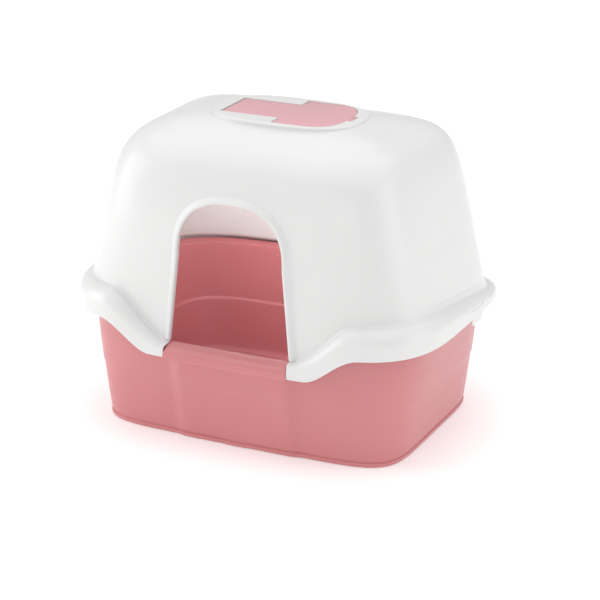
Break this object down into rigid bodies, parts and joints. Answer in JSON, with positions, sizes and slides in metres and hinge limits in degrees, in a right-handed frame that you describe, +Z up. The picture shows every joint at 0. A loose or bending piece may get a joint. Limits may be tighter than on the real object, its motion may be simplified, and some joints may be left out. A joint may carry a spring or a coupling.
{
  "type": "hooded cat litter box",
  "caption": "Hooded cat litter box: a pan with a rolled rim and sill, a lift-off hood with an arched doorway, a hinged roof cover over a filter pad, and side latches.",
  "frame": {"origin": "bottom centre of the whole box, on the surface it stands on", "axes": "+X along the long side, to the right as seen from the doorway; -Y out of the doorway; +Z up"},
  "size_m": [0.5968, 0.4572, 0.478],
  "materials": {
    "pan_plastic": "satin",
    "hood_plastic": "satin gloss",
    "cover_plastic": "satin",
    "carbon_foam": "matte"
  },
  "bodies": {
    "pan": {"litter_pan": "pan_plastic"},
    "hood": {"hood": "hood_plastic", "carbon_filter": "carbon_foam"},
    "cover": {"filter_cover": "cover_plastic"},
    "latch_left": {"latch_left": "hood_plastic"},
    "latch_right": {"latch_right": "hood_plastic"}
  },
  "joints": [
    {"name": "hood_lift", "type": "slide", "parent": "pan", "child": "hood", "axis": [0, 0, 1], "range_m": [0, 0.15]},
    {"name": "cover_hinge", "type": "hinge", "parent": "hood", "child": "cover", "pos_m": [-0.0885, -0.0064, 0.4751], "axis": [0, -1, 0], "range_deg": [0, 105]},
    {"name": "latch_left_hinge", "type": "hinge", "parent": "hood", "child": "latch_left", "pos_m": [-0.29595, 0.0296, 0.1972], "axis": [0, 1, 0], "range_deg": [0, 75]},
    {"name": "latch_right_hinge", "type": "hinge", "parent": "hood", "child": "latch_right", "pos_m": [0.29595, 0.0296, 0.1972], "axis": [0, -1, 0], "range_deg": [0, 75]}
  ]
}
